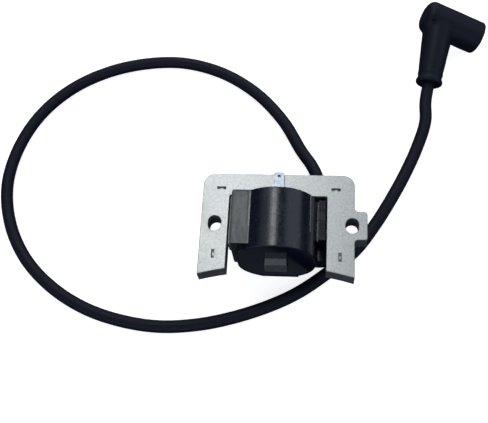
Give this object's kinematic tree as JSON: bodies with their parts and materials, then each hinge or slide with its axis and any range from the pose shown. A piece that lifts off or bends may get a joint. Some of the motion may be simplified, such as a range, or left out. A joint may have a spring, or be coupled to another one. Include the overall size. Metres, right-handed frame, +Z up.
{
  "type": "ignition coil",
  "caption": "Small-engine ignition coil: laminated three-legged core with slotted holes, moulded coil body, stop terminal, high-voltage lead and elbow plug boot.",
  "frame": {"origin": "on the surface the coil lies on, under the middle of the core and coil body measured without the lead and boot", "axes": "+X across the core towards the ear, +Y from the pole ends to the top bar, +Z up through the core's sheets from the back of the coil body"},
  "size_m": [0.2229, 0.1588, 0.0384],
  "materials": {
    "core_steel": "satin zinc-grey sheet, faces slightly mottled, stamped edges darker",
    "moulding": "black moulded plastic, satin to gloss",
    "resin": "dark grey potting resin, dull",
    "bobbin_plastic": "natural nylon",
    "winding_wire": "enamelled copper wire",
    "board": "solder-masked glass-epoxy board",
    "component": "moulded component body",
    "ceramic": "dipped ceramic",
    "tinned_steel": "bright tin plate",
    "brass": "plain brass",
    "rubber": "moulded rubber, satin",
    "lead_rubber": "extruded rubber jacket, dull"
  },
  "bodies": {
    "coil": {"core_sheet_01": "core_steel", "core_sheet_02": "core_steel", "core_sheet_03": "core_steel", "core_sheet_04": "core_steel", "core_sheet_05": "core_steel", "core_sheet_06": "core_steel", "core_sheet_07": "core_steel", "core_sheet_08": "core_steel", "core_sheet_09": "core_steel", "core_sheet_10": "core_steel", "core_sheet_11": "core_steel", "core_sheet_12": "core_steel", "core_sheet_13": "core_steel", "coil_housing": "moulding", "end_plate": "moulding", "winding_resin": "resin", "primary_bobbin": "bobbin_plastic", "primary_winding": "winding_wire", "secondary_bobbin": "bobbin_plastic", "secondary_winding_1": "winding_wire", "secondary_winding_2": "winding_wire", "secondary_winding_3": "winding_wire", "secondary_winding_4": "winding_wire", "circuit_board": "board", "power_transistor": "component", "drive_transistor": "component", "bias_resistor": "component", "sense_resistor": "component", "clamp_diode": "component", "surge_capacitor": "ceramic", "module_resin": "resin", "stop_terminal": "tinned_steel", "ground_strap": "brass", "lead_spike": "brass", "lead_seal": "rubber", "ignition_lead": "lead_rubber"},
    "boot": {"plug_boot": "rubber", "plug_clip": "brass", "lead_ferrule": "tinned_steel"}
  },
  "joints": [
    {"name": "boot_turn", "type": "hinge", "parent": "coil", "child": "boot", "pos_m": [0.06905, 0.1071, 0.0138], "axis": [-0.1688, -0.967, -0.1908], "range_deg": [0, 180]}
  ]
}
